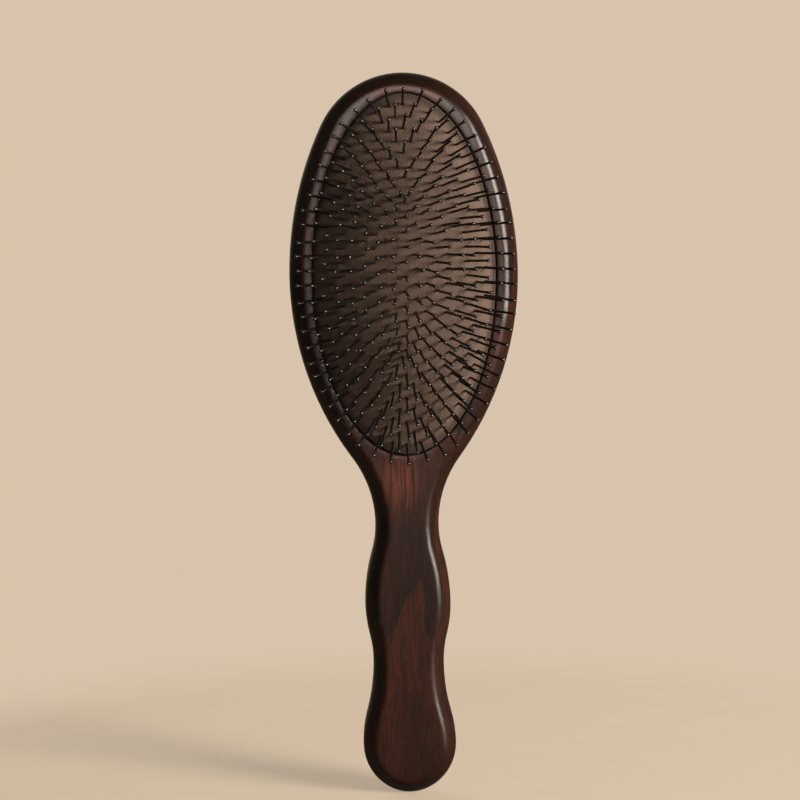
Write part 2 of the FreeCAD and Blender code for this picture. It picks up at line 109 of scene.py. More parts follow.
class CushionSettings(bpy.types.PropertyGroup):
    width: length("Width", "Width of the cushion", 60.0)
    height: length("Height", "Length of the cushion", 118.4)
    rise: length("Rise", "Height of the crown over the wood", 9.2)
    tuck: length("Tuck", "How far inside its edge the dome meets the wood", 0.7)
    front: length("Front", "Depth of the wood's front face", 9.0)
    middle: length("Middle", "Place of the cushion's middle along the brush", 124.0)
    membrane: length("Membrane", "Thickness of the membrane", 1.6)
    skirt: length("Skirt", "Depth of the edge in the recess", 4.4)
    edge_round: length("Edge Rounding", "Rounding where the cloth turns into the recess", 1.1)
    dimple: length("Dimple", "Depth of the dimple round each pin", 0.45)
    dimple_reach: length("Dimple Reach", "Size of the dimple round each pin", 0.75)
    unevenness: length("Unevenness", "Height of the slight waves in the membrane", 0.1)
    thread: length("Thread", "Distance between threads", 0.42)
    warp: colour("Warp", "Colour of the lengthwise threads", (0.310, 0.208, 0.160))
    weft: colour("Weft", "Colour of the crosswise threads", (0.165, 0.107, 0.083))
    gap: colour("Gap", "Colour between the threads", (0.012, 0.009, 0.008))
    fibre: colour("Fibre", "Colour of the darker fibres", (0.03, 0.022, 0.018))
    cloud: colour("Cloud", "Colour of the slightly paler patches", (0.16, 0.100, 0.082))


class PinSettings(bpy.types.PropertyGroup):
    pitch: length("Pitch", "Distance between pins along a ring", 4.65)
    margin: length("Margin", "Outer ring to the cushion's edge", 3.4)
    row: length("Middle Row", "Length of the middle row", 48.0)
    reach: length("Reach", "Membrane to the end of the tip", 16.5)
    wire: length("Wire", "Thickness of the wire", 0.8)
    ball: length("Ball", "Diameter of the ball tip", 1.3)
    head: length("Head", "Diameter of the flat head", 2.0)
    head_thickness: length("Head Thickness", "Thickness of the flat head", 0.4)
    clearance: length("Clearance", "Head to the membrane", 0.3)
    bend: length("Bend", "How far the wire's end is off its line", 0.25)
    lean: number("Lean", "Largest random lean of a pin", math.radians(1.8), subtype="ANGLE")
    seed: IntProperty(name="Seed", description="Seed of the random lean", default=7)
    coating: colour("Coating", "Colour of the coated wire", (0.0065, 0.0050, 0.0042))
    bead: colour("Bead", "Colour of the ball tips", (0.0065, 0.0052, 0.0045))


class StageSettings(bpy.types.PropertyGroup):
    backdrop: colour("Backdrop", "Colour behind the brush", (0.686, 0.552, 0.412))
    room: colour("Room", "Colour of the light from the room", (0.66, 0.575, 0.44))
    floor: colour("Floor", "Colour of the floor", (0.90, 0.75, 0.60))
    floor_lift: number("Floor Lift", "Share of the backdrop's brightness that the floor always keeps", 0.5)
    floor_shade: number("Floor Shade", "Share of the floor's colour in reflections and as a source of light",
                        0.22)
    floor_reach: FloatProperty(name="Floor Reach", description="Radius of the floor", default=4, unit="LENGTH")
    shown_near: length("Floor Shown", "Distance up to which the floor keeps its own shading", 90.0)
    shown_far: length("Floor Faded", "Distance from which the floor has the backdrop's colour", 260.0)
    distance: length("Distance", "Camera to the place that it looks at", 900.0)
    frame_height: length("Frame Height", "Height of the picture at that place", 265.8)
    aim_across: length("Aim Across", "Place across the brush in the picture's middle", -1.7)
    aim_along: length("Aim Along", "Place along the brush in the picture's middle", 82.0)
    azimuth: number("Azimuth", "Camera's turn round the brush", math.radians(-2.0), subtype="ANGLE")
    elevation: number("Elevation", "Camera's height over the brush", math.radians(6.0), subtype="ANGLE")
    roll: number("Roll", "Camera's turn about its own line", math.radians(0.77), subtype="ANGLE")
    key_power: number("Key Power", "Power of the key light", 23.8, unit="POWER")
    key_side: number("Key Side", "Key light's angle from the pins' direction", math.radians(55),
                     subtype="ANGLE")
    key_rise: number("Key Rise", "Key light's climb in the picture", math.radians(13), subtype="ANGLE")
    key_distance: length("Key Distance", "Key light to the cushion", 1200.0)
    key_size: length("Key Size", "Width of the key light", 560.0)
    key_tint: colour("Key Tint", "Colour of the key light and the low light", (1.0, 0.93, 0.815))
    front_place: spot("Front Place", "Place of the light that the lacquer mirrors", (50, -1250, 410))
    front_size: length("Front Size", "Width of the light that the lacquer mirrors", 600.0)
    front_tint: colour("Front Tint", "Colour of the light that the lacquer mirrors", (1.0, 0.80, 0.73))
    front_power: number("Front Power", "Power of the soft light that the lacquer mirrors", 8.2, unit="POWER")
    low_place: spot("Low Place", "Place of the small light level with the handle", (1000, -700, 0))
    low_power: number("Low Power", "Power of the small light level with the handle", 5.0, unit="POWER")
    low_size: length("Low Size", "Width of the small light level with the handle", 130.0)
    back_place: spot("Back Place", "Place of the soft light on the brush's back", (-450, 1250, 250))
    back_size: length("Back Size", "Width of the soft light on the brush's back", 800.0)
    back_tint: colour("Back Tint", "Colour of the soft light on the brush's back", (1.0, 0.95, 0.9))
    back_power: number("Back Power", "Power of the soft light on the brush's back", 13.0, unit="POWER")
    ambient: number("Ambient", "Light from the dark sides of the room", 0.155)
    wall_light: number("Wall Light", "Light from the wall behind the brush", 0.6)


SETTINGS = {
    "brush_wood": WoodSettings,
    "brush_cushion": CushionSettings,
    "brush_pins": PinSettings,
    "brush_stage": StageSettings,
}


# Node trees

class Tree:
    """Adds nodes to a tree; an input may be a value or another node's output."""

    def __init__(self, tree):
        self.tree = tree

    def add(self, kind, inputs=None, **settings):
        node = self.tree.nodes.new(kind)
        for name, value in settings.items():
            setattr(node, name, value)
        for key, value in (inputs or {}).items():
            if isinstance(value, bpy.types.NodeSocket):
                self.tree.links.new(value, node.inputs[key])
            else:
                node.inputs[key].default_value = value
        return node

    def first(self, kind, inputs=None, **settings):
        return self.add(kind, inputs, **settings).outputs[0]

    def math(self, operation, *values):
        return self.first("ShaderNodeMath", dict(enumerate(values)), operation=operation)

    def vector(self, operation, *values):
        return self.first("ShaderNodeVectorMath", dict(enumerate(values)), operation=operation)

    def distance(self, vector):
        return self.add("ShaderNodeVectorMath", {0: vector}, operation="LENGTH").outputs["Value"]

    def stretched(self, vector, factor):
        return self.vector("MULTIPLY", vector, factor)

    def parts(self, vector):
        return self.add("ShaderNodeSeparateXYZ", {"Vector": vector}).outputs

    def joined(self, x, y, z):
        return self.first("ShaderNodeCombineXYZ", {"X": x, "Y": y, "Z": z})

    def noise(self, vector, scale=1.0, detail=2.0, roughness=0.5):
        node = self.add("ShaderNodeTexNoise", {"Vector": vector, "Scale": scale, "Detail": detail,
                                               "Roughness": roughness})
        return node.outputs["Fac"]

    def ranged(self, value, low, high, to_low=0.0, to_high=1.0, smooth=True):
        kind = "SMOOTHSTEP" if smooth else "LINEAR"
        return self.first("ShaderNodeMapRange", {"Value": value, "From Min": low, "From Max": high,
                                                 "To Min": to_low, "To Max": to_high},
                          interpolation_type=kind)

    def mixed(self, share, first, second):
        node = self.tree.nodes.new("ShaderNodeMix")
        node.data_type = "RGBA"
        for socket, value in zip((node.inputs[0], node.inputs[6], node.inputs[7]), (share, first, second)):
            if isinstance(value, bpy.types.NodeSocket):
                self.tree.links.new(value, socket)
            elif hasattr(value, "__len__"):
                socket.default_value = (*value, 1)[:4]
            else:
                socket.default_value = value
        return node.outputs[2]


def new_material(name):
    """An empty material with a shader at its end: the tree and the shader."""
    material = bpy.data.materials.new(name)
    material.use_nodes = True
    material.node_tree.nodes.clear()
    tree = Tree(material.node_tree)
    shader = tree.add("ShaderNodeBsdfPrincipled")
    tree.add("ShaderNodeOutputMaterial", {"Surface": shader.outputs[0]})
    return material, tree, shader


def give(tree, shader, **inputs):
    """Sets a shader's inputs, named with underscores for spaces."""
    for name, value in inputs.items():
        socket = shader.inputs[name.replace("_", " ")]
        if isinstance(value, bpy.types.NodeSocket):
            tree.tree.links.new(value, socket)
        elif hasattr(value, "__len__") and len(value) == 3:
            socket.default_value = (*value, 1)
        else:
            socket.default_value = value


def object_mm(tree):
    """The place on the brush, in millimetres."""
    place = tree.add("ShaderNodeTexCoord").outputs["Object"]
    return tree.stretched(place, (1 / MM,) * 3)


# Wood

# Spots of noise for each millimetre across, into and along the wood
WAVER_GRAIN = (0.08, 0.08, 0.05)
SWAY_GRAIN = (0.10, 0.10, 0.03)
RAGGED_GRAIN = (0.9, 0.9, 0.12)
STREAK_GRAIN = (1.5, 1.5, 0.05)
FINE_GRAIN = (4.5, 4.5, 0.18)
PORE_GRAIN = (7.0, 7.0, 0.35)
MOTTLE_GRAIN = (0.5, 0.5, 0.07)
# Strength of the bends in the growth rings, in millimetres along the wood, and how pointed the arch is
SWAY = 7.0
RAGGED = 1.5
ARCH_POINT = 1.12
# Depth of the grain and of the lacquer's ripples, and how far the lacquer softens the sheen at an edge
GRAIN_RELIEF = 0.12 * MM
LACQUER_RELIEF = 0.02 * MM
LACQUER_ROUND = 2.0 * MM
# End grain takes more stain, and this darkening also paints shade on the top and butt of the wood: slopes along
# the wood from none to full, and how dark it gets at each
END_GRAIN_STAIN_AND_SHADE = (0.2, 0.75, 0.0, 0.8)
# How far the grain wavers sideways, in millimetres across, into and along the wood
WAVER = (4.0, 2.0, 0.0)


def wood_finish(wood):
    """Dark stained wood with growth rings, fine streaks, pores, and darker top and butt from end-grain stain
    and painted shade, under clear lacquer.
    """
    material, tree, shader = new_material("dark_lacquered_wood")
    place = object_mm(tree)
    waver = tree.add("ShaderNodeTexNoise", {"Vector": tree.stretched(place, WAVER_GRAIN), "Scale": 1.0,
                                            "Detail": 1.0})
    waver = tree.vector("SUBTRACT", waver.outputs["Color"], (0.5, 0.5, 0.5))
    place = tree.vector("ADD", place, tree.stretched(waver, WAVER))
    x, y, z = tree.parts(place)

    across = tree.math("SUBTRACT", x, wood.arch_offset / MM)
    fall = [tree.math("DIVIDE", tree.math("MAXIMUM", tree.math("MULTIPLY", across, way), 0.0), reach / MM)
            for way, reach in ((-1.0, wood.arch_left), (1.0, wood.arch_right))]
    fall = tree.math("ADD", *(tree.math("POWER", side, ARCH_POINT) for side in fall))
    fall = tree.math("MULTIPLY", fall, wood.arch_fall / MM)
    inward = tree.math("MULTIPLY", tree.math("SUBTRACT", y, WOOD_LOW.y / MM), wood.slant)
    climb = tree.math("SUBTRACT", tree.math("ADD", z, fall), inward)
    sway = tree.noise(tree.stretched(place, SWAY_GRAIN), detail=2)
    ragged = tree.noise(tree.stretched(place, RAGGED_GRAIN), detail=3, roughness=0.6)
    sway = tree.math("ADD", tree.math("MULTIPLY", sway, SWAY), tree.math("MULTIPLY", ragged, RAGGED))
    climb = tree.math("SUBTRACT", tree.math("ADD", climb, sway), wood.arch_height / MM + (SWAY + RAGGED) / 2)
    ring = tree.math("DIVIDE", climb, wood.band_length / MM)
    band = tree.math("FRACT", ring)

    streak = tree.noise(tree.stretched(place, STREAK_GRAIN), detail=4, roughness=0.6)
    fine = tree.noise(tree.stretched(place, FINE_GRAIN), detail=3, roughness=0.55)
    pores = tree.noise(tree.stretched(place, PORE_GRAIN), detail=1)
    pores = tree.ranged(pores, 0.62, 0.72)

    base = tree.mixed(tree.ranged(band, 0.0, 0.35), wood.dark, wood.brown)
    base = tree.mixed(tree.ranged(band, 0.3, 1.0), base, wood.red)
    base = tree.mixed(tree.ranged(streak, 0.48, 0.72, 0.0, 0.8), base, wood.red)
    mottle = tree.noise(tree.stretched(place, MOTTLE_GRAIN), detail=3, roughness=0.6)
    base = tree.mixed(tree.ranged(mottle, 0.56, 0.36, 0.0, 0.55), base, wood.dark)
    base = tree.mixed(tree.ranged(fine, 0.54, 0.36, 0.0, 0.65), base, wood.dark)
    base = tree.mixed(tree.ranged(fine, 0.6, 0.74, 0.0, 0.55), base, wood.amber)
    patch = tree.vector("SUBTRACT", place, [part / MM for part in wood.amber_place])
    patch = tree.distance(tree.stretched(patch, [MM / part for part in wood.amber_reach]))
    patch = tree.math("MULTIPLY", tree.ranged(patch, 1.0, 0.25), tree.ranged(streak, 0.38, 0.62))
    base = tree.mixed(patch, base, wood.amber)
    base = tree.mixed(tree.math("MULTIPLY", pores, 0.7), base, wood.dark)
    # Darker where the surface faces along the wood: end-grain stain, and painted shade on the top and butt of
    # the wood
    facing = tree.parts(tree.add("ShaderNodeTexCoord").outputs["Normal"])[2]
    ends = tree.ranged(tree.math("ABSOLUTE", facing), *END_GRAIN_STAIN_AND_SHADE)
    base = tree.mixed(ends, base, wood.dark)

    grain = tree.math("SUBTRACT", fine, tree.math("MULTIPLY", pores, 0.6))
    bump = tree.first("ShaderNodeBump", {"Strength": 0.12, "Distance": GRAIN_RELIEF, "Height": grain})
    rough = tree.ranged(fine, 0.3, 0.7, wood.roughness + 0.06, wood.roughness - 0.06)
    film = tree.math("ADD", fine, streak)
    edge = tree.first("ShaderNodeBevel", {"Radius": LACQUER_ROUND})
    film = tree.first("ShaderNodeBump", {"Strength": 0.3, "Distance": LACQUER_RELIEF, "Height": film,
                                         "Normal": edge})
    give(tree, shader, Base_Color=base, Roughness=rough, Normal=bump, Specular_IOR_Level=0.08,
         Coat_Weight=0.75, Coat_Roughness=wood.lacquer, Coat_IOR=1.48, Coat_Normal=film)
    return material


class DETANGLER_OT_wooden_body(bpy.types.Operator):
    """Gives the wooden head and handle their grain and lacquer"""

    bl_idname = "detangler.wooden_body"
    bl_label = "Wooden Body"

    def execute(self, context):
        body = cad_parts["wooden_body"]
        body.data.materials.clear()
        body.data.materials.append(wood_finish(context.scene.brush_wood))
        return {"FINISHED"}


# Cushion

class Dome:
    """The curved outer side of the cushion, over places measured from the cushion's middle."""

    def __init__(self, cushion):
        self.across = self.radius(cushion.width / 2 - cushion.tuck, cushion.rise)
        self.along = self.radius(cushion.height / 2 - cushion.tuck, cushion.rise)
        self.rise = cushion.rise
        self.front = cushion.front
        self.middle = cushion.middle
        self.spine = self.along - self.across

    @staticmethod
    def radius(half_chord, rise):
        return (half_chord ** 2 + rise ** 2) / (2 * rise)

    @property
    def centre(self):
        """Centre of the arc along the brush."""
        return Vector((0, self.along - self.rise - self.front, self.middle))

    def height(self, across, along):
        """Height over the wood's front face."""
        reach = self.spine + np.sqrt(self.across ** 2 - across ** 2)
        return np.sqrt(reach ** 2 - along ** 2) - self.along + self.rise


def oval_run(half_width, half_length):
    """Length round an oval."""
    turns = np.linspace(0, 2 * math.pi, 721)
    steps = np.diff(np.stack((half_width * np.sin(turns), half_length * np.cos(turns))), axis=1)
    return float(np.hypot(*steps).sum())


def ring_size(number, cushion, pins):
    """Half width, half length and pin count of one ring; the middle row comes after the last ring."""
    dome = Dome(cushion)
    inward = number / (len(RINGS) - 1)
    side = math.asin((cushion.width / 2 - pins.margin) / dome.across)
    end = math.asin((cushion.height / 2 - pins.margin) / dome.along)
    row = math.asin(pins.row / 2 / dome.along)
    half_width = dome.across * math.sin(side * (1 - inward))
    half_length = dome.along * math.sin(end + (row - end) * inward)
    if number == len(RINGS) - 1:
        return 0.0, half_length, round(pins.row / pins.pitch) + 1
    return half_width, half_length, 2 * round(oval_run(half_width, half_length) / pins.pitch / 2)


def pin_roots(cushion, pins):
    """Places of all the pins on the cushion."""
    roots = []
    for number in range(len(RINGS)):
        half_width, half_length, count = ring_size(number, cushion, pins)
        if not half_width:
            roots += [(0.0, half_length * (2 * step / (count - 1) - 1)) for step in range(count)]
            continue
        turns = np.linspace(0, 2 * math.pi, 2881)
        path = np.stack((half_width * np.sin(turns), -half_length * np.cos(turns)), axis=1)
        run = np.concatenate(((0,), np.hypot(*np.diff(path, axis=0).T).cumsum()))
        wanted = run[-1] * (np.arange(count) + number % 2 / 2) / count
        roots += list(zip(np.interp(wanted, run, path[:, 0]), np.interp(wanted, run, path[:, 1])))
    return np.array(roots)


ROUND_STEPS = 420
TOP_RINGS = 86
UNDER_RINGS = 30
EDGE_STEPS = 6
# The two slight waves in the membrane: turns for each metre across and along, and their start
WAVES = ((120, 310, 0), (260, -90, 1))
# Points nearer to each other than this are one point
MERGE_GAP = 0.002 * MM


def cushion_mesh(cushion, pins):
    """A domed membrane with a rolled edge and a skirt, closed on its inner side, with its threads' map."""
    dome = Dome(cushion)
    roots = pin_roots(cushion, pins)
    half_width, half_length, spine = cushion.width / 2, cushion.height / 2, pins.row / 2
    turns = np.arange(ROUND_STEPS) * 2 * math.pi / ROUND_STEPS

    def oval(share, inset):
        """An oval between the middle line, at no share, and the inset edge."""
        long = spine + (half_length - inset - spine) * share
        return (half_width - inset) * share * np.sin(turns), long * np.cos(turns)

    rings = []

    def add(across, along, height):
        rings.append(np.stack((across, -dome.front - height, along + dome.middle), axis=1))

    roll = cushion.edge_round
    for share in np.linspace(0, 1, TOP_RINGS):
        across, along = oval(share, roll)
        gap = np.hypot(across[:, None] - roots[:, 0], along[:, None] - roots[:, 1]).min(axis=1)
        dimple = cushion.dimple * np.exp(-(gap / cushion.dimple_reach) ** 2)
        waves = math.prod(np.sin(across * sideways + along * upward + start)
                          for sideways, upward, start in WAVES)
        fade = 1 - share ** 6
        add(across, along, dome.height(across, along) + fade * cushion.unevenness * waves - dimple)
    edge = dome.height(*oval(1, roll))
    for turn in np.linspace(0, math.pi / 2, EDGE_STEPS)[1:]:
        across, along = oval(1, roll * (1 - math.sin(turn)))
        add(across, along, edge - roll * (1 - math.cos(turn)))
    add(*oval(1, 0), np.full(ROUND_STEPS, -cushion.skirt))
    add(*oval(1, cushion.membrane), np.full(ROUND_STEPS, -cushion.skirt))
    for share in np.linspace(1, 0, UNDER_RINGS):
        across, along = oval(share, cushion.membrane + roll)
        add(across, along, dome.height(across, along) - cushion.membrane)

    places = np.concatenate(rings)
    around = np.arange(ROUND_STEPS)
    faces = []
    for ring in range(len(rings) - 1):
        here = ring * ROUND_STEPS + around
        ahead = ring * ROUND_STEPS + (around + 1) % ROUND_STEPS
        corners = (here, ahead, ahead + ROUND_STEPS, here + ROUND_STEPS)
        faces += zip(*(corner.tolist() for corner in corners))
    mesh = bpy.data.meshes.new("cushion_pad")
    mesh.from_pydata(places.tolist(), [], faces)
    shape = bmesh.new()
    shape.from_mesh(mesh)
    bmesh.ops.remove_doubles(shape, verts=shape.verts, dist=MERGE_GAP)
    bmesh.ops.recalc_face_normals(shape, faces=shape.faces)
    threads = shape.loops.layers.uv.new("threads")
    for face in shape.faces:
        face.smooth = True
        for corner in face.loops:
            side = max(-1.0, min(1.0, corner.vert.co.x / dome.across))
            end = max(-1.0, min(1.0, (corner.vert.co.z - dome.middle) / dome.along))
            corner[threads].uv = (dome.across * math.asin(side), dome.along * math.asin(end))
    shape.to_mesh(mesh)
    shape.free()
    return mesh


THREAD_WANDER = (0.5, 0.5, 0.0)
FIBRE_GRAIN = (0.8, 6.0, 1.0)
CLOUDS = 260.0
THREAD_RELIEF = 0.14 * MM
# Painted shade along the cushion's seam: shares of the way to the seam where the painted shade starts and is
# darkest, and how dark it is at each
PAINTED_SEAM_SHADE = (0.925, 0.985, 0.0, 0.7)


def cloth_finish(cushion):
    """Fine twill cloth with painted shade at its seam: each thread goes over two and under one, a step on in
    each row.
    """
    material, tree, shader = new_material("taupe_twill")
    threads = tree.first("ShaderNodeUVMap", uv_map="threads")
    place = tree.stretched(threads, (1 / cushion.thread,) * 3)
    wander = tree.add("ShaderNodeTexNoise", {"Vector": place, "Scale": 0.35, "Detail": 1.0}).outputs["Color"]
    wander = tree.vector("SUBTRACT", wander, (0.5, 0.5, 0.5))
    place = tree.vector("ADD", place, tree.stretched(wander, THREAD_WANDER))
    across, along, _ = tree.parts(place)
    step = tree.math("ADD", tree.math("FLOOR", across), tree.math("FLOOR", along))
    step = tree.math("FLOORED_MODULO", step, 3.0)
    over = tree.math("GREATER_THAN", step, 0.5)
    warp = tree.math("ABSOLUTE", tree.math("SINE", tree.math("MULTIPLY", across, math.pi)))
    weft = tree.math("ABSOLUTE", tree.math("SINE", tree.math("MULTIPLY", along, math.pi)))
    height = tree.ranged(over, 0.0, 1.0, weft, warp, smooth=False)
    cloud = tree.noise(threads, scale=CLOUDS, detail=3)
    fibre = tree.noise(tree.stretched(place, FIBRE_GRAIN), detail=3, roughness=0.7)

    base = tree.mixed(over, cushion.weft, cushion.warp)
    base = tree.mixed(tree.ranged(height, 0.85, 0.1, 0.0, 0.92), base, cushion.gap)
    base = tree.mixed(tree.ranged(fibre, 0.3, 0.7, 0.35, 0.0), base, cushion.fibre)
    base = tree.mixed(tree.ranged(cloud, 0.35, 0.65, 0.0, 0.25), base, cushion.cloud)
    # Painted shade: the cloth darkens towards its seam, towards the colour between the threads
    seam = tree.vector("SUBTRACT", object_mm(tree), (0.0, 0.0, cushion.middle / MM))
    seam = tree.distance(tree.stretched(seam, (2 * MM / cushion.width, 0.0, 2 * MM / cushion.height)))
    base = tree.mixed(tree.ranged(seam, *PAINTED_SEAM_SHADE), base, cushion.gap)
    relief = tree.math("ADD", height, tree.math("MULTIPLY", fibre, 0.35))
    bump = tree.first("ShaderNodeBump", {"Strength": 0.55, "Distance": THREAD_RELIEF, "Height": relief})
    rough = tree.ranged(fibre, 0.3, 0.7, 0.8, 0.95)
    give(tree, shader, Base_Color=base, Roughness=rough, Normal=bump, Specular_IOR_Level=0.25,
         Sheen_Weight=0.12, Sheen_Roughness=0.45, Sheen_Tint=(0.75, 0.62, 0.54))
    return material


class DETANGLER_OT_cushion(bpy.types.Operator):
    """Makes the domed cloth cushion that the pins stand in"""

    bl_idname = "detangler.cushion"
    bl_label = "Cushion"

    def execute(self, context):
        cushion = context.scene.brush_cushion
        pad = bpy.data.objects.new("cushion_pad", cushion_mesh(cushion, context.scene.brush_pins))
        context.scene.collection.objects.link(pad)
        pad.data.materials.append(cloth_finish(cushion))
        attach(pad, "brush")
        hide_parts("cushion")
        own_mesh(pad)
        return {"FINISHED"}


# Pins

def pin_inputs(tree):
    """Named inputs of the pin tree, as a table of name to identifier."""
    wanted = (
        ("Half Width", "NodeSocketFloat"), ("Half Length", "NodeSocketFloat"), ("Count", "NodeSocketInt"),
        ("Half Step", "NodeSocketInt"), ("In A Row", "NodeSocketBool"), ("Tips", "NodeSocketBool"),
        ("Across Radius", "NodeSocketFloat"), ("Spine Radius", "NodeSocketFloat"),
        ("Dome Centre", "NodeSocketVector"), ("Reach", "NodeSocketFloat"), ("Root", "NodeSocketFloat"),
        ("Wire", "NodeSocketFloat"), ("Ball", "NodeSocketFloat"), ("Head", "NodeSocketFloat"),
        ("Head Thickness", "NodeSocketFloat"), ("Bend", "NodeSocketFloat"), ("Lean", "NodeSocketFloat"),
        ("Seed", "NodeSocketInt"), ("Material", "NodeSocketMaterial"),
    )
    tree.interface.new_socket(name="Pins", in_out="OUTPUT", socket_type="NodeSocketGeometry")
    made = (tree.interface.new_socket(name=name, in_out="INPUT", socket_type=kind) for name, kind in wanted)
    return {socket.name: socket.identifier for socket in made}


WIRE_SIDES = 8
WIRE_STEPS = 5
BALL_SEGMENTS = 10
BALL_RINGS = 7


def pin_shapes(tree, value):
    """One wire with its flat head, and one ball tip, standing along Z."""
    half_ball = tree.math("DIVIDE", value["Ball"], 2.0)
    top = tree.math("SUBTRACT", value["Reach"], half_ball)
    run = tree.math("ADD", top, value["Root"])
    wire = tree.first("GeometryNodeMeshCylinder",
                      {"Vertices": WIRE_SIDES, "Side Segments": WIRE_STEPS, "Depth": run,
                       "Radius": tree.math("DIVIDE", value["Wire"], 2.0)}, fill_type="NGON")
    middle = tree.math("SUBTRACT", tree.math("DIVIDE", run, 2.0), value["Root"])
    wire = tree.first("GeometryNodeTransform", {"Geometry": wire, "Translation": tree.joined(0.0, 0.0, middle)})
    place = tree.first("GeometryNodeInputPosition")
    share = tree.math("DIVIDE", tree.math("MAXIMUM", tree.parts(place)[2], 0.0), top)
    off = tree.math("MULTIPLY", value["Bend"], tree.math("POWER", share, 2.0))
    wire = tree.first("GeometryNodeSetPosition", {"Geometry": wire, "Offset": tree.joined(off, 0.0, 0.0)})
    head = tree.first("GeometryNodeMeshCylinder",
                      {"Vertices": WIRE_SIDES, "Radius": tree.math("DIVIDE", value["Head"], 2.0),
                       "Depth": value["Head Thickness"]}, fill_type="NGON")
    below = tree.math("ADD", value["Root"], tree.math("DIVIDE", value["Head Thickness"], 2.0))
    below = tree.joined(0.0, 0.0, tree.math("MULTIPLY", below, -1.0))
    head = tree.first("GeometryNodeTransform", {"Geometry": head, "Translation": below})
    both = tree.add("GeometryNodeJoinGeometry")
    tree.tree.links.new(head, both.inputs[0])
    tree.tree.links.new(wire, both.inputs[0])
    ball = tree.first("GeometryNodeMeshUVSphere",
                      {"Segments": BALL_SEGMENTS, "Rings": BALL_RINGS, "Radius": half_ball})
    ball = tree.first("GeometryNodeTransform",
                      {"Geometry": ball, "Translation": tree.joined(value["Bend"], 0.0, top)})
    return both.outputs[0], ball


def pin_places(tree, value):
    """Points at even steps round an oval, or along the middle row, before they are set on the dome."""
    circle = tree.first("GeometryNodeCurvePrimitiveCircle", {"Resolution": 720, "Radius": 1.0})
    circle = tree.first("GeometryNodeTransform", {"Geometry": circle, "Rotation": Euler((0, 0, -math.pi / 2))})
    oval = tree.joined(value["Half Width"], value["Half Length"], 1.0)
    circle = tree.first("GeometryNodeTransform", {"Geometry": circle, "Scale": oval})
    twice = tree.math("MULTIPLY", value["Count"], 2.0)
    circle = tree.first("GeometryNodeResampleCurve", {"Curve": circle, "Count": twice}, mode="COUNT")
    circle = tree.first("GeometryNodeCurveToPoints", {"Curve": circle}, mode="EVALUATED")
    odd = tree.math("MODULO", tree.first("GeometryNodeInputIndex"), 2.0)
    wrong = tree.math("ABSOLUTE", tree.math("SUBTRACT", odd, value["Half Step"]))
    ring = tree.first("GeometryNodeDeleteGeometry", {"Geometry": circle, "Selection": wrong}, domain="POINT")
    low = tree.math("MULTIPLY", value["Half Length"], -1.0)
    row = tree.first("GeometryNodeCurvePrimitiveLine",
                     {"Start": tree.joined(0.0, low, 0.0), "End": tree.joined(0.0, value["Half Length"], 0.0)})
    row = tree.first("GeometryNodeResampleCurve", {"Curve": row, "Count": value["Count"]}, mode="COUNT")
    row = tree.first("GeometryNodeCurveToPoints", {"Curve": row}, mode="EVALUATED")
    return tree.first("GeometryNodeSwitch", {"Switch": value["In A Row"], "False": ring, "True": row},
                      input_type="GEOMETRY")


def on_the_dome(tree, value, points):
    """Sets the points on the dome, and gives the direction that is square to it."""
    across, along, _ = tree.parts(tree.first("GeometryNodeInputPosition"))

    def leg(long, short):
        squares = tree.math("SUBTRACT", tree.math("MULTIPLY", long, long), tree.math("MULTIPLY", short, short))
        return tree.math("SQRT", squares)

    reach = tree.math("ADD", value["Spine Radius"], leg(value["Across Radius"], across))
    out = tree.math("MULTIPLY", leg(reach, along), -1.0)
    place = tree.vector("ADD", value["Dome Centre"], tree.joined(across, out, along))
    points = tree.first("GeometryNodeSetPosition", {"Geometry": points, "Position": place})
    outward = tree.vector("SUBTRACT", tree.first("GeometryNodeInputPosition"), value["Dome Centre"])
    spine = tree.vector("NORMALIZE", tree.stretched(outward, (0.0, 1.0, 1.0)))
    spine = tree.first("ShaderNodeVectorMath", {0: spine, "Scale": value["Spine Radius"]}, operation="SCALE")
    return points, tree.vector("NORMALIZE", tree.vector("SUBTRACT", outward, spine))


def pin_tree():
    """The tree that sets wires or tips square to the dome, and its table of inputs."""
    group = bpy.data.node_groups.new("pins_on_dome", "GeometryNodeTree")
    identifiers = pin_inputs(group)
    tree = Tree(group)
    value = {socket.name: socket for socket in tree.add("NodeGroupInput").outputs if socket.name}
    wire, ball = pin_shapes(tree, value)
    shape = tree.first("GeometryNodeSwitch", {"Switch": value["Tips"], "False": wire, "True": ball},
                       input_type="GEOMETRY")
    points, outward = on_the_dome(tree, value, pin_places(tree, value))
    upright = tree.first("FunctionNodeAlignRotationToVector", {"Vector": outward}, axis="Z")
    back = tree.math("MULTIPLY", value["Lean"], -1.0)
    least = tree.joined(back, back, 0.0)
    most = tree.joined(value["Lean"], value["Lean"], 2 * math.pi)
    lean = tree.first("FunctionNodeRandomValue", {0: least, 1: most, "Seed": value["Seed"]},
                      data_type="FLOAT_VECTOR")
    lean = tree.first("FunctionNodeEulerToRotation", {0: lean})
    turned = tree.first("FunctionNodeRotateRotation", {0: upright, 1: lean}, rotation_space="LOCAL")
    pins = tree.first("GeometryNodeInstanceOnPoints", {"Points": points, "Instance": shape, "Rotation": turned})
    pins = tree.first("GeometryNodeRealizeInstances", {"Geometry": pins})
    pins = tree.first("GeometryNodeSetShadeSmooth", {"Geometry": pins})
    pins = tree.first("GeometryNodeSetMaterial", {"Geometry": pins, "Material": value["Material"]})
    tree.add("NodeGroupOutput", {0: pins})
    return group, identifiers


